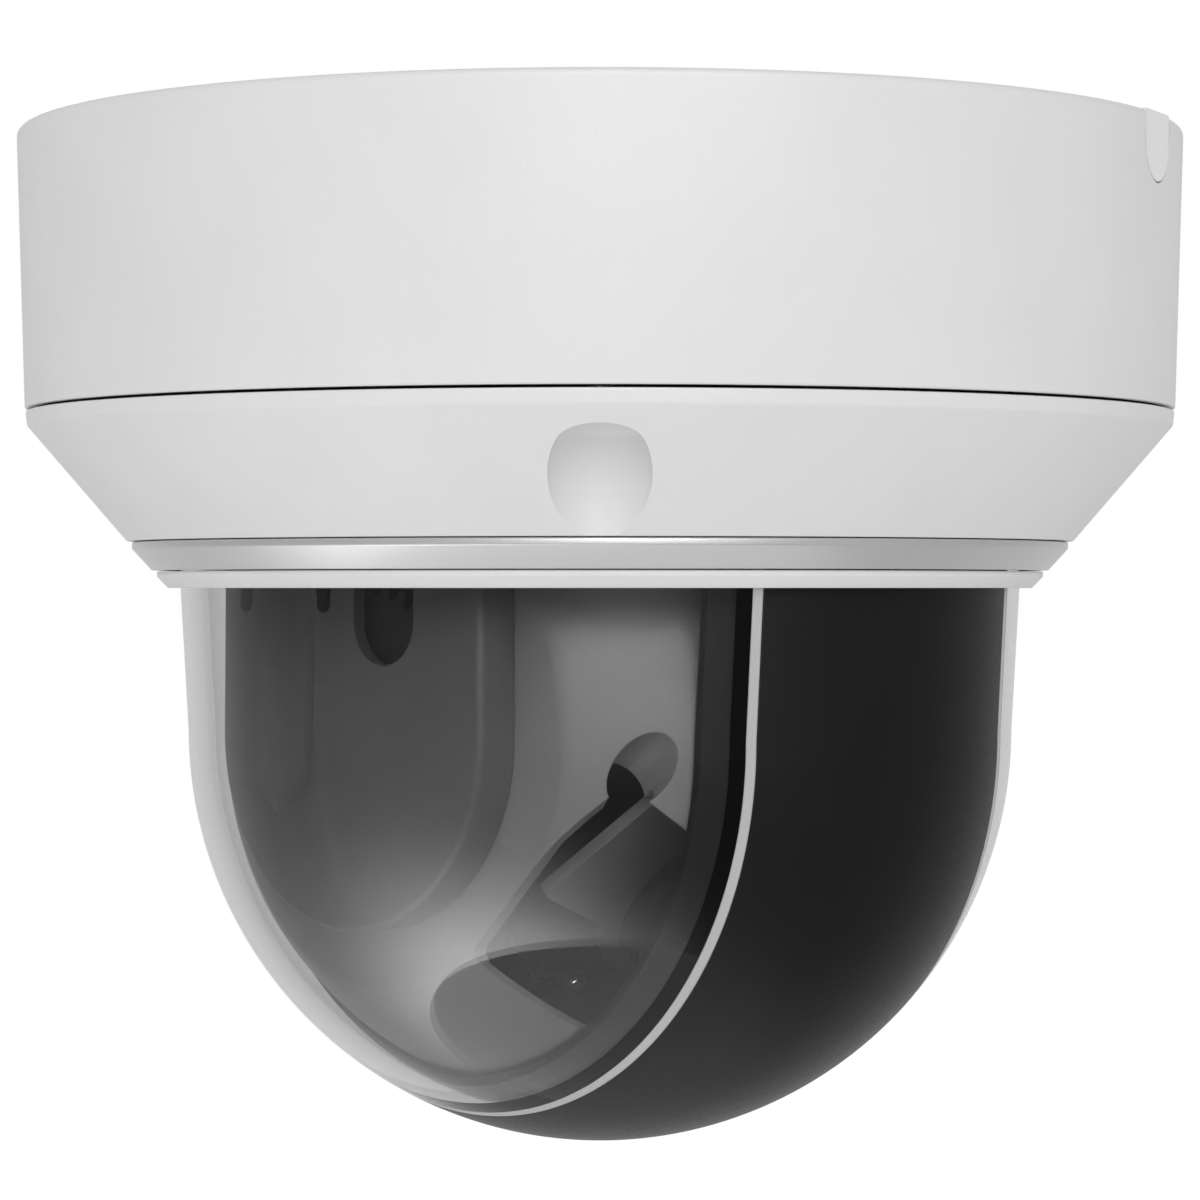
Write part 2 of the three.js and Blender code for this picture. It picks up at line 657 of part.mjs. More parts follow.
function gearPod(sign) {
  const [near, far] = [FLAT_X + 0.2, POD_X];
  let pod = podBlock(POD_HALF, near, far, SHELL_TOP);
  pod = pod.subtract(podBlock(POD_HALF - POD_WALL, near - 1, far - POD_WALL, SHELL_TOP + 1));
  const bound = solidOf(new THREE.SphereGeometry(DOME_R - DOME_WALL - 0.4, 28, 14));
  const round = disc(DOME_R_LIP - DOME_WALL - 1.2, 0, SHELL_TOP + 1, 48).add(bound);
  pod = pod.intersect(round);
  return headFrame(sign < 0 ? pod.mirror([1, 0, 0]) : pod);
}

for (const [side, sign] of [["left", -1], ["right", 1]]) {
  piece(head, `yoke_shell_${side}`, yokeShell(sign), "dark");
  piece(head, `side_pod_${side}`, gearPod(sign), "dark");
  const bush = alongX(ring(TRUNNION_R + 0.25, BUSH_R, FLAT_X - 3.4, FLAT_X + 0.6));
  piece(head, `tilt_bush_${side}`, headFrame(sign < 0 ? bush.mirror([1, 0, 0]) : bush), "acetal");
}

function tiltMotor() {
  const [py, pz] = tiltPinionAt;
  const can = alongX(disc(TILT_MOTOR_R, -(FLAT_X - 3.4), -(FLAT_X - 13), COARSE));
  const well = alongX(disc(1.8, -FLAT_X, -(FLAT_X - 6), 16));
  return headFrame(can.subtract(well).translate([0, py, pz]));
}
piece(head, "tilt_motor", tiltMotor(), "steel");

// ---- tilt gear and pinion ----
const tiltGearNear = FLAT_X + 1;
const tiltGearFar = tiltGearNear + TILT_GEAR_T;
function tiltGear() {
  const bore = circle(TRUNNION_R + GAP, COARSE);
  const gear = slab(gearOutline(TILT_MODULE, TILT_TEETH), 0, TILT_GEAR_T, [bore]);
  return gear.rotate(ACROSS).translate([-tiltGearFar, 0, 0]);
}
const tiltGearMesh = piece(head, "tilt_gear", tiltGear(), "acetal");
tiltGearMesh.position.z = DOME_Z;
tiltGearMesh.rotation.x = TILT_PINION_DEG * RAD; // a tooth on the line of centres

const tiltPinionBody = new THREE.Group();
tiltPinionBody.position.set(0, tiltPinionAt[0], DOME_Z + tiltPinionAt[1]);
tiltPinionBody.rotation.x = (TILT_PINION_DEG + 180 + 180 / TILT_PINION_TEETH) * RAD;
head.add(tiltPinionBody);
function tiltPinion() {
  const gear = slab(gearOutline(TILT_MODULE, TILT_PINION_TEETH), 0, TILT_GEAR_T);
  const shaft = disc(1.5, TILT_GEAR_T - 1, tiltGearFar - (FLAT_X - 5), 16);
  return gear.add(shaft).rotate(ACROSS).translate([-tiltGearFar, 0, 0]);
}
piece(tiltPinionBody, "tilt_pinion", tiltPinion(), "acetal");

// ---- camera block, in the tilting frame ----
function cameraBody() {
  let body = box([-BLOCK_HALF, BLOCK_FRONT, -BLOCK_HALF], [BLOCK_HALF, BLOCK_BACK, BLOCK_HALF]);
  body = body.subtract(alongY(disc(BORE_R, -8, BIG, 24)));
  const { half: wayHalf, high, front, back } = FILTER_WAY;
  body = body.subtract(box([-wayHalf, front, -high], [wayHalf, back, high]));
  const well = SENSOR_WELL.half;
  body = body.subtract(box([-well, SENSOR_WELL.front, -well], [well, BIG, well]));
  for (const y of [BLOCK_FRONT + 2, ROD_BACK - LUG.t - 1]) {
    const low = -BLOCK_HALF - LUG.deep;
    body = body.add(box([-LUG.half, y, low], [LUG.half, y + LUG.t, -BLOCK_HALF + 0.5]));
  }
  for (const x of RODS) {
    const way = alongY(disc(ROD_R + GAP, -BIG, BIG, 12));
    body = body.subtract(way.translate([x, 0, ROD_Z]));
  }
  for (const sign of [-1, 1]) {
    const seat = alongX(disc(TRUNNION_R + 0.1, BLOCK_HALF - 3, BLOCK_HALF + 1, COARSE));
    body = body.subtract(sign < 0 ? seat.mirror([1, 0, 0]) : seat);
  }
  return body;
}
piece(tilting, "camera_body", cameraBody(), "dark");
const REAR_T = 3;
const rearLow = BLOCK_BACK + GAP;
const rearHigh = rearLow + REAR_T;
const rearCover = box([-BLOCK_HALF, rearLow, -BLOCK_HALF], [BLOCK_HALF, rearHigh, BLOCK_HALF]);
piece(tilting, "camera_rear_cover", rearCover, "dark");
piece(tilting, "sensor_board", box([-16, 11.4, -16], [16, 13, 16]), "green");

const barrel = alongY(ring(BORE_R, BARREL_R, -(BLOCK_FRONT - GAP), -BARREL_FRONT, 24));
piece(tilting, "lens_barrel", barrel, "black");
const glass = alongY(disc(BORE_R - GAP, -BARREL_FRONT - 2.2, -BARREL_FRONT - 0.4, 24));
piece(tilting, "front_glass", glass, "clear");

// A bar across the front of the block, with a round middle that the barrel passes through
function frontBezel() {
  const { half, low, top, r, bore, t } = BEZEL;
  const back = BLOCK_FRONT - GAP;
  const bar = box([-half, back - t, low], [half, back, top]);
  const middle = alongY(disc(r, -back, t - back, 40));
  return bar.add(middle).subtract(alongY(disc(bore, 0, BIG, 40))).rotate([0, ROLL, 0]);
}
piece(tilting, "front_bezel", frontBezel(), "dark");

RODS.forEach((x, i) => {
  const rod = alongY(disc(ROD_R, -ROD_BACK, -BLOCK_FRONT, 12)).translate([x, 0, ROD_Z]);
  piece(tilting, `guide_rod_${i + 1}`, rod, "steel");
});

for (const [side, sign] of [["left", -1], ["right", 1]]) {
  const end = sign < 0 ? tiltGearFar : FLAT_X + 1.4;
  const shaft = alongX(disc(TRUNNION_R, BLOCK_HALF - 2.8, end, COARSE));
  piece(tilting, `trunnion_${side}`, sign < 0 ? shaft.mirror([1, 0, 0]) : shaft, "steel");
}

// ---- lens groups and infrared-cut filter, which slide inside the block ----
const zoom = alongY(ring(6.5, BORE_R - 0.5, 18, 24));
piece(tilting, "zoom_carriage", zoom.add(alongY(disc(7, 20, 22))), "black");
const focus = alongY(ring(5.5, BORE_R - 0.5, 1, 6));
piece(tilting, "focus_carriage", focus.add(alongY(disc(6, 2.5, 4.5))), "black");
piece(tilting, "ir_cut_filter", box([-14.5, 8.8, -6.5], [5.5, 9.8, 6.5]), "clear");

export default camera;
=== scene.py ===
"""Looks of a compact pan-tilt dome camera that hangs from a ceiling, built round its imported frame.

Lengths are in millimetres in the tables and outlines below and become metres when a mesh is made.
The ceiling is at z = 0 and the fixed base faces -Y. The head is panned and the lens tilted down.
"""

import math

import bmesh
import bpy
from mathutils import Matrix, Vector


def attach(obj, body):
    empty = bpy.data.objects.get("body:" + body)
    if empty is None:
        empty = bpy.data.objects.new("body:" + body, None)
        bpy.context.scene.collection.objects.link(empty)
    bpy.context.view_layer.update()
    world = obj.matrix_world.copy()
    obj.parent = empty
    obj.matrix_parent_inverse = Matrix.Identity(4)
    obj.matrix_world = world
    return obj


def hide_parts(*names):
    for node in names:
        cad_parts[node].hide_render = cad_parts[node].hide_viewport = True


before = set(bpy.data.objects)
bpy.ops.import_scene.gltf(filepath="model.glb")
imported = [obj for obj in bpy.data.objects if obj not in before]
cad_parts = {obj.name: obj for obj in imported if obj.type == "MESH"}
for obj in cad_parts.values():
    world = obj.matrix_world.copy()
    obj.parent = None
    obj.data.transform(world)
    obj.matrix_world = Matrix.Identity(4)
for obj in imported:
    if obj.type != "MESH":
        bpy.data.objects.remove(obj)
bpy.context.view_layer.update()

# ---- dimensions, as in the CAD part ----
MM = 0.001
ROUND = 256  # facets round the large rings
SMALL = 48  # facets round bores, screws and rods

BASE_R, BASE_R_LOW = 80, 78.9
SEAM_Z, SEAM_GAP = -38, 0.4
BASE_WALL = 3
DECK_TOP, DECK_LOW = -5.5, -8.5
CONE_R_TOP, CONE_Z_TOP = 78.6, -40.1
CONE_R_LOW, CONE_Z_LOW = 65.1, -55.8
CONE_WALL = 3.2
RING_TOP, RING_LOW = -55.95, -59.8
RING_R, RING_R_LOW, RING_BORE = 64.4, 61.7, 59.4
LIP_TOP, LIP_LOW = -59.95, -62.2
LIP_R, LIP_R_LOW, LIP_BORE = 61, 59.5, 58.4
POCKET_R, POCKET_AT, POCKET_TOP = 6.35, 71.2, -41.9
SCREW_SEAT, HEAD_R = -39.8, 3.3
SCREW_DEGREES = (-90, 30, 150)
MOUNT_DEGREES = (-30, 90, 210)
MOUNT_AT, BOLT_R = 66, 1.95
NOTCH_DEG, NOTCH_HALF, NOTCH_DEPTH = -24, 5.35, 9.3

DOME_R, DOME_Z, DOME_R_LIP, DOME_TOP = 56.7, -81.5, 57.8, -51
DOME_WALL = 2.9
BAND_HALF, RIM_NEAR, RIM_FAR, WINDOW_NEAR = 23.6, 23.7, 24.9, 25.0
SEAT_HALF, SEAT_R = 28, 52.6
HEAD_TURN, TILT_REST = 45, 45

BALL_R, SHELL_WALL = 52, 1.1
FLAT_X, SHELL_X, LOBE_X = 40, 27, 14
RECESS_R, RECESS_DEEP = 3.6, 4.6
SHELL_TOP = 30.6
MOUTH_DIST, MOUTH_DEG, MOUTH_LOW_DEG = 31.2, 45, 57
BROW, BROW_ROLL = 15.5, 13
BUSH_WAY = 6.3
POD_NEAR, POD_X, POD_HALF, POD_WALL = 40.2, 46, 25, 1.8
POD_SLOTS = ((20, 1.25, 16.1), (4.6, 1.4, 16.1), (-7, 5.65, 9.3))  # middle, half width, lower end
FLUTE_R, FLUTE_DEEP, FLUTE_Y, FLUTE_Z = 9.6, 1.6, 11.7, -4.0
BLOCK_HALF, BLOCK_FRONT, BLOCK_BACK = 19, -28, 14
BORE_R, BARREL_R, BARREL_FRONT = 11.5, 14, -43
BEZEL_HALF, BEZEL_LOW, BEZEL_TOP, BEZEL_R, BEZEL_BORE, BEZEL_T = 30, -12.3, 9.5, 17, 14.3, 1.7
ROLL = 25
RODS, ROD_R, ROD_Z, ROD_BACK = (-9, 9), 1.6, -21.6, 12

HEAD = Matrix.Rotation(math.radians(HEAD_TURN), 4, "Z")
YOKE = HEAD @ Matrix.Translation((0, 0, DOME_Z * MM))
TILTED = YOKE @ Matrix.Rotation(math.radians(TILT_REST), 4, "X")


# ---- outlines ----
def polar(radius, degrees):
    a = math.radians(degrees)
    return radius * math.cos(a), radius * math.sin(a)


def rounded(points, steps=5):
    """A closed outline from (x, y) or (x, y, fillet radius) points."""
    made = []
    for i, point in enumerate(points):
        here = Vector(point[:2])
        radius = point[2] if len(point) > 2 else 0
        if not radius:
            made.append(tuple(here))
            continue
        before = (Vector(points[i - 1][:2]) - here).normalized()
        after = (Vector(points[(i + 1) % len(points)][:2]) - here).normalized()
        half = before.angle(after) / 2
        centre = here + (before + after).normalized() * radius / math.sin(half)
        start = here + before * radius / math.tan(half) - centre
        end = here + after * radius / math.tan(half) - centre
        turn = start.angle_signed(end)
        for k in range(steps + 1):
            a = -turn * k / steps
            c, s = math.cos(a), math.sin(a)
            made.append((centre.x + c * start.x - s * start.y, centre.y + s * start.x + c * start.y))
    return made


def circle(radius, facets=SMALL, at=(0, 0)):
    spots = (polar(radius, 360 * i / facets) for i in range(facets))
    return [(x + at[0], y + at[1]) for x, y in spots]


def arc(radius, start, end, steps, at=(0, 0)):
    spots = (polar(radius, start + (end - start) * i / steps) for i in range(steps + 1))
    return [(x + at[0], y + at[1]) for x, y in spots]


# ---- solids ----
def mesh_object(name, points, faces):
    mesh = bpy.data.meshes.new(name)
    mesh.from_pydata([Vector(p) * MM for p in points], [], faces)
    obj = bpy.data.objects.new(name, mesh)
    bpy.context.scene.collection.objects.link(obj)
    edit = bmesh.new()
    edit.from_mesh(mesh)
    bmesh.ops.recalc_face_normals(edit, faces=edit.faces)
    edit.to_mesh(mesh)
    edit.free()
    return obj


def lathe(name, outline, facets=ROUND, about="Z"):
    """A solid of revolution from a closed outline of (radius, height) points."""
    points, rings = [], []
    for radius, height in outline:
        count = 1 if radius < 1e-6 else facets
        rings.append(range(len(points), len(points) + count))
        for i in range(count):
            x, y = polar(radius, 360 * (i + 0.5) / facets)
            points.append((x, y, height) if about == "Z" else (height, x, y))
    faces = []
    for low, high in zip(rings, rings[1:] + rings[:1]):
        for i in range(facets):
            k = (i + 1) % facets
            corners = [low[i % len(low)], low[k % len(low)], high[k % len(high)], high[i % len(high)]]
            face = list(dict.fromkeys(corners))
            if len(face) > 2:
                faces.append(face)
    return mesh_object(name, points, faces)


def prism(name, outline, low, high, along="Z"):
    """A flat outline given thickness. Along X it is drawn in (y, z), along Y in (x, z)."""
    place = {"Z": lambda a, b, t: (a, b, t), "X": lambda a, b, t: (t, a, b), "Y": lambda a, b, t: (a, t, b)}
    count = len(outline)
    points = [place[along](a, b, t) for t in (low, high) for a, b in outline]
    faces = [list(range(count)), list(range(count, 2 * count))]
    faces += [[i, (i + 1) % count, count + (i + 1) % count, count + i] for i in range(count)]
    return mesh_object(name, points, faces)


def box(name, low, high, bevel=0.0, steps=3):
    (x0, y0, z0), (x1, y1, z1) = low, high
    obj = prism(name, [(x0, y0), (x1, y0), (x1, y1), (x0, y1)], z0, z1)
    if bevel:
        edit = bmesh.new()
        edit.from_mesh(obj.data)
        edges = list(edit.edges)
        bmesh.ops.bevel(edit, geom=edges, offset=bevel * MM, segments=steps, profile=0.5, affect="EDGES")
        edit.to_mesh(obj.data)
        edit.free()
    return obj


def moved(obj, x=0.0, y=0.0, z=0.0):
    obj.data.transform(Matrix.Translation((x * MM, y * MM, z * MM)))
    return obj


def turned(obj, degrees, axis="Z"):
    obj.data.transform(Matrix.Rotation(math.radians(degrees), 4, axis))
    return obj


def mirrored(obj):
    """The piece on the other side of the head's middle plane."""
    obj.data.transform(Matrix.Scale(-1, 4, (1, 0, 0)))
    obj.data.flip_normals()
    return obj


def boolean(target, tool, operation):
    modifier = target.modifiers.new("cut", "BOOLEAN")
    modifier.object = tool
    modifier.operation = operation
    modifier.solver = "EXACT"
    graph = bpy.context.evaluated_depsgraph_get()
    cut = bpy.data.meshes.new_from_object(target.evaluated_get(graph))
    target.modifiers.clear()
    target.data = cut
    bpy.data.objects.remove(tool)
    return target


def cut(target, *tools):
    for tool in tools:
        boolean(target, tool, "DIFFERENCE")
    return target


def keep(target, tool):
    return boolean(target, tool, "INTERSECT")


def join(target, *others):
    for other in others:
        boolean(target, other, "UNION")
    return target


# ---- materials ----
class Graph:
    """A material's node tree, with short ways to add a node and link it."""

    def __init__(self, name):
        self.material = bpy.data.materials.new(name)
        self.material.use_nodes = True
        self.tree = self.material.node_tree
        self.shader = self.tree.nodes["Principled BSDF"]
        self.output = self.tree.nodes["Material Output"]
        self.coordinates = self.add("ShaderNodeTexCoord").outputs["Object"]

    def add(self, kind, **settings):
        node = self.tree.nodes.new(kind)
        for key, value in settings.items():
            setattr(node, key, value)
        return node

    def link(self, out, into):
        self.tree.links.new(out, into)

    def set(self, **values):
        for key, value in values.items():
            self.shader.inputs[key.replace("_", " ")].default_value = value

    def noise(self, scale, detail=3.0):
        node = self.add("ShaderNodeTexNoise")
        node.inputs["Scale"].default_value = scale
        node.inputs["Detail"].default_value = detail
        self.link(self.coordinates, node.inputs["Vector"])
        return node.outputs["Fac"]

    def spread(self, value, low, high):
        node = self.add("ShaderNodeMapRange")
        node.inputs["From Min"].default_value = 0.3
        node.inputs["From Max"].default_value = 0.7
        node.inputs["To Min"].default_value = low
        node.inputs["To Max"].default_value = high
        self.link(value, node.inputs["Value"])
        return node.outputs["Result"]

    def colour(self, value, low, high):
        ramp = self.add("ShaderNodeValToRGB")
        ramp.color_ramp.elements[0].position = 0.3
        ramp.color_ramp.elements[1].position = 0.7
        ramp.color_ramp.elements[0].color = (*low, 1)
        ramp.color_ramp.elements[1].color = (*high, 1)
        self.link(value, ramp.inputs["Fac"])
        self.link(ramp.outputs["Color"], self.shader.inputs["Base Color"])

    def relief(self, heights, edge):
        """Bumps from (height, strength, distance in mm), over edges rounded by edge mm."""
        normal = None
        if edge:
            bevel = self.add("ShaderNodeBevel", samples=6)
            bevel.inputs["Radius"].default_value = edge * MM
            normal = bevel.outputs["Normal"]
        for height, strength, distance in heights:
            bump = self.add("ShaderNodeBump")
            bump.inputs["Strength"].default_value = strength
            bump.inputs["Distance"].default_value = distance * MM
            self.link(height, bump.inputs["Height"])
            if normal:
                self.link(normal, bump.inputs["Normal"])
            normal = bump.outputs["Normal"]
        self.link(normal, self.shader.inputs["Normal"])


def finish(name, colour, shade, rough, grain, depth, edge=0.25, **values):
    """A finish: colour that varies by shade, roughness between two values, and a grain in mm."""
    graph = Graph(name)
    cloud = graph.noise(60, detail=4)
    low = [c * (1 - shade) for c in colour]
    high = [min(1, c * (1 + shade)) for c in colour]
    graph.colour(cloud, low, high)
    fine = graph.noise(1 / (grain * MM), detail=2)
    graph.link(graph.spread(fine, *rough), graph.shader.inputs["Roughness"])
    broad = graph.noise(0.25 / (grain * MM), detail=2)
    graph.relief([(broad, 0.25 * depth, 0.05), (fine, depth, 0.05)], edge)
    graph.set(**values)
    return graph.material


def clear(name, tint, rough):
    """Clear moulded plastic, faintly uneven."""
    graph = Graph(name)
    cloud = graph.noise(40, detail=2)
    graph.colour(cloud, [c * 0.985 for c in tint], tint)
    graph.link(graph.spread(graph.noise(200), 0.0, rough), graph.shader.inputs["Roughness"])
    graph.relief([(graph.noise(25, detail=1), 0.01, 0.02)], 0)
    graph.set(Transmission_Weight=1.0, IOR=1.5)
    return graph.material


WHITE = finish("white_paint", (0.80, 0.80, 0.80), 0.015, (0.42, 0.6), 0.45, 0.5)
PLUG = finish("plug_plastic", (0.9, 0.9, 0.9), 0.01, (0.4, 0.5), 0.45, 0.2)
BLACK = finish("black_shell", (0.008, 0.008, 0.009), 0.1, (0.34, 0.42), 0.5, 0.05, IOR=1.42)
GREY = finish("rim_grey", (0.50, 0.50, 0.50), 0.03, (0.3, 0.4), 0.5, 0.1, edge=0.3)
DARK = finish("dark_plastic", (0.21, 0.21, 0.212), 0.05, (0.4, 0.5), 0.45, 0.8, edge=0.3)
# The same dark plastic made darker for the gear pods: painted shade for the shadow they sit in.
SHADED_POD = finish("pod_plastic_painted_shade", (0.125, 0.125, 0.127), 0.05, (0.36, 0.46), 0.45, 0.7, edge=0.25)
INNER = finish("inner_plastic", (0.03, 0.03, 0.031), 0.08, (0.4, 0.55), 0.4, 0.3)
STEEL = finish("plated_steel", (0.56, 0.56, 0.57), 0.05, (0.25, 0.4), 0.3, 0.1, Metallic=1.0)
ALUMINIUM = finish(
    "turned_aluminium", (0.70, 0.70, 0.71), 0.01, (0.3, 0.32), 4.0, 0.01, Metallic=0.45
)
RUBBER = finish("rubber", (0.018, 0.018, 0.018), 0.15, (0.7, 0.9), 0.3, 0.3)
BOARD = finish("circuit_board", (0.015, 0.08, 0.045), 0.15, (0.3, 0.5), 0.8, 0.2)
ACETAL = finish("acetal", (0.7, 0.68, 0.62), 0.04, (0.35, 0.5), 0.5, 0.1)
ACETAL_BLACK = finish("acetal_black", (0.015, 0.015, 0.015), 0.1, (0.4, 0.5), 0.5, 0.1)
CLEAR = clear("clear_cover", (0.97, 0.97, 0.97), 0.02)
LENS = clear("lens_glass", (0.9, 0.9, 0.93), 0.01)

CAD_FINISH = {
    STEEL: """mount_screw_1 mount_screw_2 mount_screw_3 network_jack chassis_screw_1 chassis_screw_2
        chassis_screw_3 pan_motor bearing_outer_race bearing_inner_race hub_clip tilt_motor
        trunnion_left trunnion_right""",
    RUBBER: "cable_grommet base_gasket",
    INNER: "power_terminal reset_switch slip_ring_stator zoom_carriage focus_carriage",
    BOARD: "main_board sensor_board",
    ACETAL: "pan_gear pan_pinion tilt_bush_left tilt_bush_right",
    ACETAL_BLACK: "tilt_gear tilt_pinion",
    GREY: "slip_ring_rotor reset_button",
    DARK: "pan_chassis turntable camera_rear_cover",
    LENS: "front_glass ir_cut_filter",
}


def dress_cad():
    """A procedural finish for every CAD node that stays in sight."""
    for material, names in CAD_FINISH.items():
        for name in names.split():
            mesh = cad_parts[name].data
            mesh.materials.clear()
            mesh.materials.append(material)


def install(obj, body, slot, material, *nodes, place=None, sharp=35):
    """Puts a finished piece in its body's place and lets it stand for its CAD nodes."""
    if place is not None:
        obj.data.transform(place)
    obj.data.materials.clear()
    obj.data.materials.append(material)
    for polygon in obj.data.polygons:
        polygon.use_smooth = True
        polygon.material_index = 0
    obj.data.set_sharp_from_angle(angle=math.radians(sharp))
    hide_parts(*nodes)
    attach(obj, body)
    return obj


# ---- fixed base ----
def notch(name, half, depth, near, far):
    """A U-shaped block at the ceiling rim, running outwards from near to far."""
    outline = [(-half, 2), (half, 2)] + arc(half, 0, -180, 24, at=(0, half - depth))
    return turned(prism(name, outline, near, far, along="X"), NOTCH_DEG)


def base_housing():
    inner, inner_low = BASE_R - BASE_WALL, BASE_R_LOW - BASE_WALL
    low = SEAM_Z + SEAM_GAP / 2
    outline = rounded(
        [
            (inner, 0, 0.3),
            (inner, DECK_TOP),
            (0, DECK_TOP),
            (0, DECK_LOW),
            (inner, DECK_LOW),
            (inner_low, low + 1.6),
            (BASE_R_LOW - 1.4, low + 1.6),
            (BASE_R_LOW - 1.4, low),
            (BASE_R_LOW, low, 0.25),
            (BASE_R, 0, 1.0),
        ]
    )
    shell = lathe("base_shell", outline)
    cut(shell, notch("tool", NOTCH_HALF, NOTCH_DEPTH, BASE_R - 4.5, BASE_R + 3))
    cut(shell, moved(prism("tool", circle(11), DECK_LOW - 1, DECK_TOP + 1), y=38))
    for degrees in MOUNT_DEGREES:
        hole = prism("tool", circle(BOLT_R, 24, polar(MOUNT_AT, degrees)), DECK_LOW - 1, DECK_TOP + 1)
        cut(shell, hole)
    install(shell, "base", "white_paint", WHITE, "base_housing")
    plug = notch("notch_cover", NOTCH_HALF - 0.2, NOTCH_DEPTH - 0.2, BASE_R - BASE_WALL, BASE_R - 0.25)
    keep(plug, box("tool", (0, -90, -30), (90, 90, 0)))
    install(plug, "base", "white_paint", PLUG, "cable_notch_plug")


def mounting_plate():
    outline = rounded([(0, 0), (76.4, 0, 0.5), (76.4, -2.4, 0.5), (0, -2.4)])
    plate = lathe("ceiling_plate", outline)
    cut(plate, prism("tool", circle(15, 96, (0, 38)), -4, 2))
    for degrees in MOUNT_DEGREES:
        cut(plate, prism("tool", circle(BOLT_R, 24, polar(MOUNT_AT, degrees)), -4, 2))
    for degrees in (0, 180, 270):
        cut(plate, prism("tool", circle(BOLT_R, 24, polar(42, degrees)), -4, 2))
    install(plate, "base", "steel", STEEL, "mounting_plate")


def lower_housing():
    top = SEAM_Z - SEAM_GAP / 2
    inner_low = CONE_R_LOW - CONE_WALL
    outline = rounded(
        [
            (inner_low, CONE_Z_LOW),
            (inner_low, CONE_Z_LOW + 2),
            (CONE_R_TOP - CONE_WALL, CONE_Z_TOP),
            (CONE_R_TOP - CONE_WALL, top),
            (CONE_R_TOP + 0.2, top, 0.25),
            (CONE_R_TOP, CONE_Z_TOP, 0.9),
            (CONE_R_LOW, CONE_Z_LOW, 0.3),
        ]
    )
    shell = lathe("lower_cover", outline)
    solid = [
        (0, top),
        (CONE_R_TOP + 0.1, top),
        (CONE_R_TOP - 0.1, CONE_Z_TOP),
        (CONE_R_LOW - 0.1, CONE_Z_LOW),
        (0, CONE_Z_LOW),
    ]
    for degrees in SCREW_DEGREES:
        at = polar(POCKET_AT, degrees)
        boss = keep(prism("tool", circle(POCKET_R + 2.2, 96, at), CONE_Z_LOW, top), lathe("tool2", solid))
        cut(boss, prism("tool", circle(inner_low, ROUND), CONE_Z_LOW - 1, top + 1))
        join(shell, boss)
    for degrees in SCREW_DEGREES:
        at = polar(POCKET_AT, degrees)
        mouth = CONE_Z_LOW - 5
        pocket = rounded([(0, mouth), (POCKET_R, mouth), (POCKET_R, POCKET_TOP, 2.4), (0, POCKET_TOP)], 8)
        cut(shell, moved(lathe("tool", pocket, 96), *at))
        cut(shell, prism("tool", circle(HEAD_R + 0.7, SMALL, at), POCKET_TOP - 1, SCREW_SEAT))
        cut(shell, prism("tool", circle(1.9, 24, at), SCREW_SEAT - 1, top + 1))
    install(shell, "base", "white_paint", WHITE, "lower_housing")


def cover_screws():
    for i, degrees in enumerate(SCREW_DEGREES):
        head = rounded([(0, 0), (1.6, 0), (HEAD_R, 0), (HEAD_R, -1.7, 0.7), (0, -1.7)])
        screw = join(lathe("cover_bolt", head, SMALL), prism("tool", circle(1.6, 24), -0.1, 12))
        cut(screw, prism("tool", circle(1.5, 6), -3, -0.7))
        moved(screw, *polar(POCKET_AT, degrees), SCREW_SEAT - 0.3)
        screw.name = f"cover_bolt_{i + 1}"
        install(screw, "base", "steel", STEEL, f"cover_screw_{i + 1}")


def rings():
    trim = rounded(
        [
            (RING_BORE, RING_TOP),
            (RING_R, RING_TOP, 0.2),
            (RING_R, RING_TOP - 0.9, 0.25),
            (RING_R_LOW, RING_LOW, 0.3),
            (RING_BORE, RING_LOW),
        ]
    )
    install(lathe("trim_band", trim), "base", "aluminium", ALUMINIUM, "trim_ring")
    lip = rounded(
        [
            (LIP_BORE, LIP_TOP),
            (LIP_R, LIP_TOP, 0.2),
            (LIP_R, LIP_TOP - 0.7, 0.3),
            (LIP_R_LOW, LIP_LOW, 0.4),
            (LIP_BORE, LIP_LOW, 0.15),
        ]
    )
    install(lathe("lip_band", lip), "base", "white_paint", WHITE, "lip_ring")


# ---- dome ----
def dome_line(offset, steps=56):
    radius = DOME_R - offset
    line = [(DOME_R_LIP - offset, DOME_TOP), (DOME_R_LIP - offset, LIP_LOW)]
    line += [(x, DOME_Z + z) for x, z in arc(radius, 0, -90, steps)]
    line[-1] = (0, DOME_Z - radius)
    return line


def dome_slice(name, outer, inner, x0, x1):
    shell = lathe(name, dome_line(outer) + dome_line(inner)[::-1])
    return keep(shell, box("tool", (x0, -90, -180), (x1, 90, 90)))


def dome():
    band = dome_slice("dome_band", 0, DOME_R - SEAT_R, -BAND_HALF, BAND_HALF)
    seat = dome_slice("tool", DOME_WALL + 0.3, DOME_R - SEAT_R, -SEAT_HALF, SEAT_HALF)
    install(join(band, seat), "pan_head", "black_shell", BLACK, "centre_shell", place=HEAD)
    for side in ("left", "right"):
        rim = dome_slice(f"rim_{side}", 0, DOME_WALL, RIM_NEAR, RIM_FAR)
        window = dome_slice(f"window_{side}", 0, DOME_WALL, WINDOW_NEAR, 90)
        if side == "left":
            mirrored(rim)
            mirrored(window)
        install(rim, "pan_head", "rim_grey", GREY, f"window_rim_{side}", place=HEAD)
        install(window, "pan_head", "clear_cover", CLEAR, f"side_window_{side}", place=HEAD)


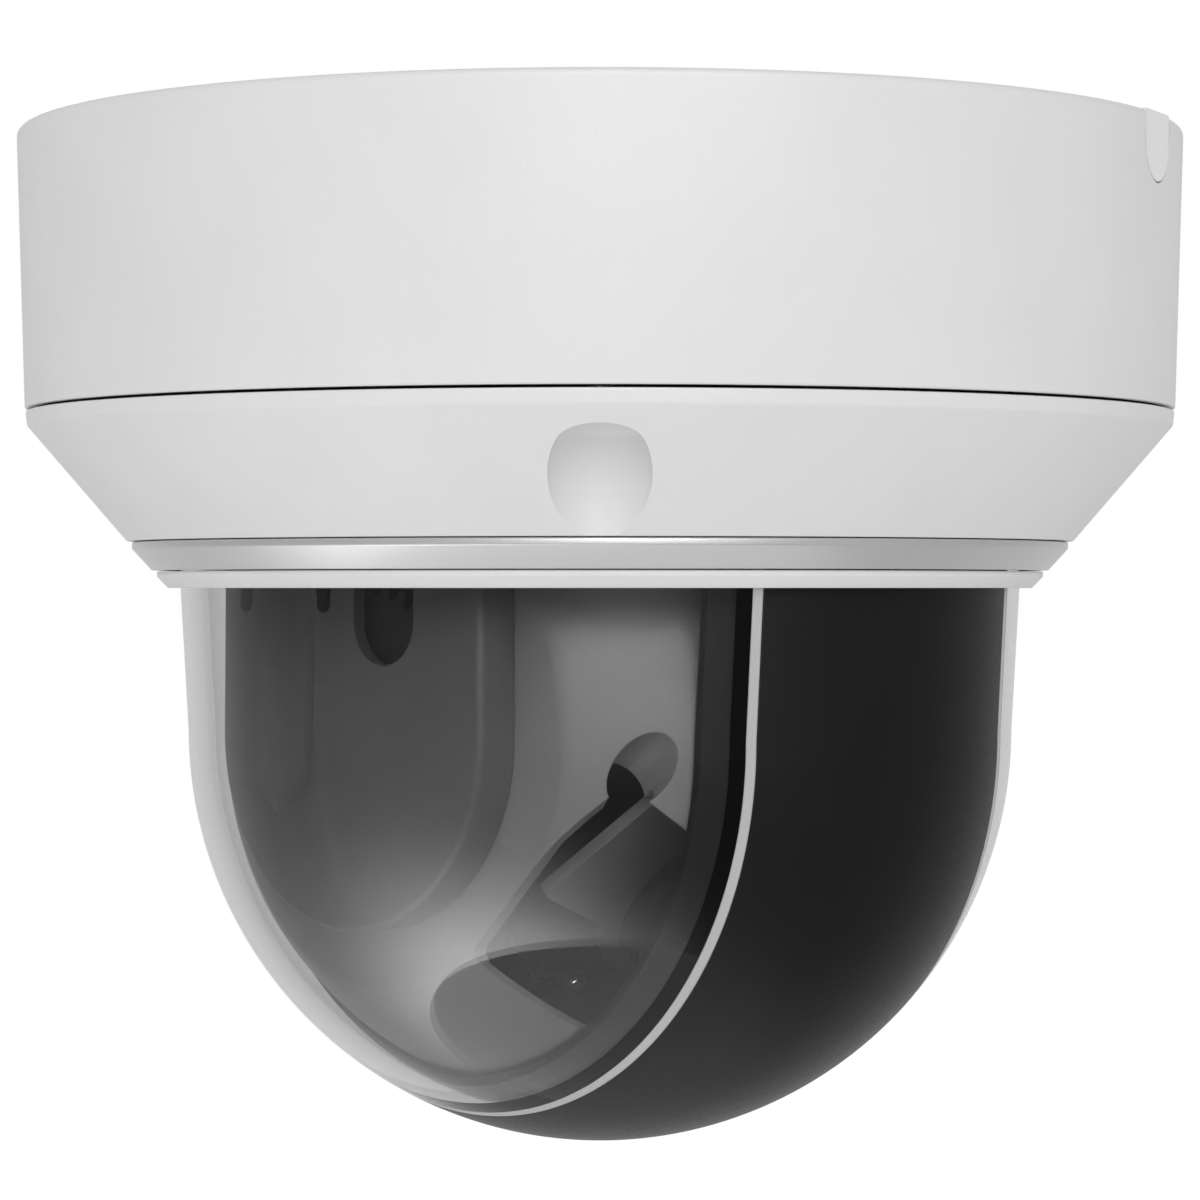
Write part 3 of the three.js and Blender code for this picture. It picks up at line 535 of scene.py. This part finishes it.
# ---- yoke ----
def mouth_tool():
    """The left shell's front opening, with a small round at its corner, ending under the brow."""
    up_way = Vector(polar(-1, MOUTH_DEG))
    low_way = Vector(polar(-1, MOUTH_LOW_DEG))
    corner = low_way * (MOUTH_DIST / low_way.dot(up_way))
    along = Vector((up_way.y, -up_way.x))
    far_low, far_up = corner + low_way * 90, corner + along * 90
    points = [(*corner, 0.9), tuple(far_low), tuple(far_low + along * 90), tuple(far_up)]
    tool = prism("tool", rounded(points, 8), -90, 90, along="X")
    brow = box("tool2", (-200, -200, -200), (200, 200, BROW))
    return keep(tool, turned(turned(brow, BROW_ROLL, "Y"), TILT_REST, "X"))


def screw_recess(radius, near, far):
    """A rod in the direction of the screw that holds the left shell, from near to far along it."""
    start, way = Vector((-32.6, -39.8, -3.65)), Vector((0.067, 0.85, -0.515))
    rod = prism("recess_tool", circle(radius, 64), near, far)
    rod.data.transform(Vector((0, 0, 1)).rotation_difference(way).to_matrix().to_4x4())
    return moved(rod, *start)


def yoke_shell(name, recess):
    """The left shell: a ball with a flat side, open in front where the lens looks out."""
    def on_ball(radius, x):
        return math.sqrt(radius**2 - x**2), x

    inner_r = BALL_R - SHELL_WALL
    steps = 40
    outer = [on_ball(BALL_R, -LOBE_X - (FLAT_X - 0.9 - LOBE_X) * i / steps) for i in range(steps + 1)]
    flat_r = on_ball(BALL_R, FLAT_X)[0]
    edge = [(flat_r - 0.05, -FLAT_X + 0.28), (flat_r - 0.75, -FLAT_X)]
    inner = [on_ball(inner_r, -LOBE_X - (FLAT_X - 2 - LOBE_X) * i / steps) for i in range(steps + 1)]
    outline = outer + edge + [(BUSH_WAY, -FLAT_X), (BUSH_WAY, -(FLAT_X - 2))] + inner[::-1]
    shell = lathe(name, outline, about="X")
    if recess:
        ball = lathe("tool", arc(BALL_R - 0.03, -90, 90, 64), about="X")
        join(shell, keep(screw_recess(RECESS_R + 1.2, -6, RECESS_DEEP), ball))
        cut(shell, screw_recess(RECESS_R, -12, RECESS_DEEP + 3))
    cut(shell, mouth_tool())
    for degrees in (0, -MOUTH_LOW_DEG):
        behind = box("tool", (-SHELL_X + 0.01, 0, 0), (0, 200, 200))
        cut(shell, turned(behind, degrees, "X"))
    keep(shell, box("tool", (-60, -90, -90), (0, 90, SHELL_TOP)))
    return shell


def pod_outline(half, top):
    return [(half, top)] + arc(half, 0, -180, 64) + [(-half, top)]


def side_pod(name):
    """The left gear pod, with its ventilation slots and a long flute."""
    pod = prism(name, pod_outline(POD_HALF, SHELL_TOP), -POD_X, -POD_NEAR, along="X")
    edit = bmesh.new()
    edit.from_mesh(pod.data)
    front = [e for e in edit.edges if all(v.co.x < -(POD_X - 0.01) * MM for v in e.verts)]
    bmesh.ops.bevel(edit, geom=front, offset=0.9 * MM, segments=4, profile=0.5, affect="EDGES")
    edit.to_mesh(pod.data)
    edit.free()
    hollow = pod_outline(POD_HALF - POD_WALL, SHELL_TOP + 1)
    cut(pod, prism("tool", hollow, -(POD_X - POD_WALL), -POD_NEAR + 1, along="X"))
    bound_r = DOME_R_LIP - DOME_WALL - 1.2
    bound = [(0, 60), (bound_r, 60), (bound_r, 0)]
    bound += [tuple((DOME_R - DOME_WALL - 0.4) * Vector(polar(1, -90 * i / 48))) for i in range(49)]
    keep(pod, lathe("tool", bound))
    for y, half, bottom in POD_SLOTS:
        end = arc(half, 0, -180, 24, at=(y, bottom + half))
        slot = [(y + half, SHELL_TOP + 2)] + end + [(y - half, SHELL_TOP + 2)]
        cut(pod, prism("tool", slot, -POD_X - 5, -POD_X + POD_WALL + 0.5, along="X"))
    flute = lathe("tool", [(0, 50), (FLUTE_R, 50)] + arc(FLUTE_R, 0, -90, 32)[:-1] + [(0, -FLUTE_R)], 128)
    cut(pod, moved(flute, x=-(POD_X + FLUTE_R - FLUTE_DEEP), y=FLUTE_Y, z=FLUTE_Z))
    return pod


def yoke():
    for side in ("left", "right"):
        shell, pod = yoke_shell(f"yoke_{side}", side == "left"), side_pod(f"pod_{side}")
        if side == "right":
            mirrored(shell)
            mirrored(pod)
        install(shell, "pan_head", "dark_plastic", DARK, f"yoke_shell_{side}", place=YOKE)
        # The pod takes the darker copy of the dark plastic, which is painted shade.
        install(pod, "pan_head", "dark_plastic", SHADED_POD, f"side_pod_{side}", place=YOKE)


# ---- camera block ----
def camera_body():
    half, front, back = BLOCK_HALF, BLOCK_FRONT, BLOCK_BACK
    body = box("lens_housing", (-half, front, -half), (half, back, half), bevel=1.0)
    cut(body, prism("tool", circle(BORE_R, 96), -90, 8, along="Y"))
    cut(body, box("tool", (-16.5, 10.9, -16.5), (16.5, 90, 16.5)))
    cut(body, box("tool", (-16, 7.6, -8), (16, 11.2, 8)))
    for y in (front + 2, ROD_BACK - 4):
        join(body, box("tool", (-13, y, -half - 5), (13, y + 3, -half + 0.5), bevel=0.4))
    for x in RODS:
        cut(body, prism("tool", circle(ROD_R + 0.3, SMALL, (x, ROD_Z)), -90, 90, along="Y"))
    install(body, "camera_head", "dark_plastic", INNER, "camera_body", place=TILTED)


def bezel():
    """A bar across the front of the block, with a round middle that the barrel passes through."""
    back = BLOCK_FRONT - 0.3
    half, low, top = BEZEL_HALF, BEZEL_LOW, BEZEL_TOP
    corners = rounded([(-half, low, 1.2), (half, low, 1.2), (half, top, 1.2), (-half, top, 1.2)])
    bar = prism("lens_bezel", corners, back - BEZEL_T, back, along="Y")
    join(bar, prism("tool", circle(BEZEL_R, 128), back - BEZEL_T, back, along="Y"))
    cut(bar, prism("tool", circle(BEZEL_BORE, 128), -90, 90, along="Y"))
    install(turned(bar, ROLL, "Y"), "camera_head", "dark_plastic", DARK, "front_bezel", place=TILTED)


def lens():
    outline = rounded(
        [
            (BORE_R, BLOCK_FRONT - 0.3),
            (BARREL_R, BLOCK_FRONT - 0.3),
            (BARREL_R, -33, 0.4),
            (BARREL_R - 0.6, -33.4),
            (BARREL_R - 0.6, -34.6),
            (BARREL_R, -35, 0.4),
            (BARREL_R, BARREL_FRONT, 0.8),
            (BORE_R + 0.6, BARREL_FRONT, 0.4),
            (BORE_R, BARREL_FRONT + 0.8),
        ]
    )
    barrel = lathe("lens_tube", [(r, -y) for r, y in outline], 128)
    turned(barrel, 90, "X")
    install(barrel, "camera_head", "black_plastic", INNER, "lens_barrel", place=TILTED)
    for i, x in enumerate(RODS):
        back, front = -ROD_BACK, -BLOCK_FRONT
        profile = rounded([(0, back), (ROD_R, back, 0.4), (ROD_R, front, 0.4), (0, front)])
        rod = lathe(f"slide_rod_{i + 1}", profile, SMALL)
        moved(turned(rod, 90, "X"), x=x, z=ROD_Z)
        install(rod, "camera_head", "steel", STEEL, f"guide_rod_{i + 1}", place=TILTED)


# ---- floor, light and camera ----
FLOOR_Z, FLOOR_R = -1200, 700


def studio():
    low = FLOOR_Z - 20
    outline = rounded([(0, FLOOR_Z), (FLOOR_R, FLOOR_Z, 5), (FLOOR_R, low, 5), (0, low)])
    floor = lathe("floor", outline, 128)
    floor.data.materials.append(finish("pale_floor", (0.86, 0.86, 0.86), 0.005, (0.6, 0.7), 40, 0.01, edge=0))
    soft_boxes()
    bpy.context.scene.view_settings.view_transform = "Standard"


# Soft light: an even surround and a few patches on it. Each patch is the direction of its middle,
# the power of the cosine by which it fades, and its strength. Matt surfaces see the first surround,
# glossy and clear ones the second, which is dark in front so that the dome shows no glare.
MATT_SURROUND = 0.68
MATT_PATCHES = (((0, -1, 0), 6, 1.1),)
CLEAR_SURROUND = 0.12
CLEAR_PATCHES = (
    ((0, 1, 0), 2, 0.6),
    ((0.1, -0.82, 0.56), 16, 13.0),
    ((-0.35, -0.2, -0.91), 8, 4.0),
)


def soft_boxes():
    """The studio round the object, white where the camera sees it directly."""
    world = bpy.data.worlds.new("studio")
    bpy.context.scene.world = world
    world.use_nodes = True
    tree = world.node_tree
    background = tree.nodes["Background"]
    direction = tree.nodes.new("ShaderNodeTexCoord").outputs["Generated"]
    rays = tree.nodes.new("ShaderNodeLightPath")

    def math_node(operation, first, second):
        node = tree.nodes.new("ShaderNodeMath")
        node.operation = operation
        for socket, value in zip(node.inputs, (first, second)):
            if isinstance(value, (int, float)):
                socket.default_value = value
            else:
                tree.links.new(value, socket)
        return node.outputs["Value"]

    def glow_of(surround, patches):
        total = surround
        for middle, power, strength in patches:
            facing = tree.nodes.new("ShaderNodeVectorMath")
            facing.operation = "DOT_PRODUCT"
            facing.inputs[1].default_value = middle
            tree.links.new(direction, facing.inputs[0])
            glow = math_node("POWER", math_node("MAXIMUM", facing.outputs["Value"], 0.0), power)
            total = math_node("ADD", math_node("MULTIPLY", glow, strength), total)
        return total

    def chosen(ray, here, otherwise):
        """The strength here for one kind of ray, and otherwise for the rest."""
        change = math_node("SUBTRACT", here, otherwise)
        return math_node("ADD", math_node("MULTIPLY", change, rays.outputs[ray]), otherwise)

    matt = glow_of(MATT_SURROUND, MATT_PATCHES)
    clear_light = glow_of(CLEAR_SURROUND, CLEAR_PATCHES)
    strength = chosen("Is Diffuse Ray", matt, clear_light)
    tree.links.new(chosen("Is Camera Ray", 1.0, strength), background.inputs["Strength"])
    background.inputs["Color"].default_value = (1, 1, 1, 1)
    world.cycles.sampling_method = "NONE"


def camera():
    data = bpy.data.cameras.new("camera")
    data.lens = 124.1
    data.sensor_width = 36
    data.shift_y = -0.01
    obj = bpy.data.objects.new("camera", data)
    bpy.context.scene.collection.objects.link(obj)
    obj.location = (0, -0.5728, -0.0622)
    obj.rotation_euler = (math.radians(90), 0, 0)
    data.clip_start, data.clip_end = 0.01, 20
    bpy.context.scene.camera = obj


camera()
studio()
dress_cad()
base_housing()
mounting_plate()
lower_housing()
cover_screws()
rings()
dome()
yoke()
camera_body()
bezel()
lens()
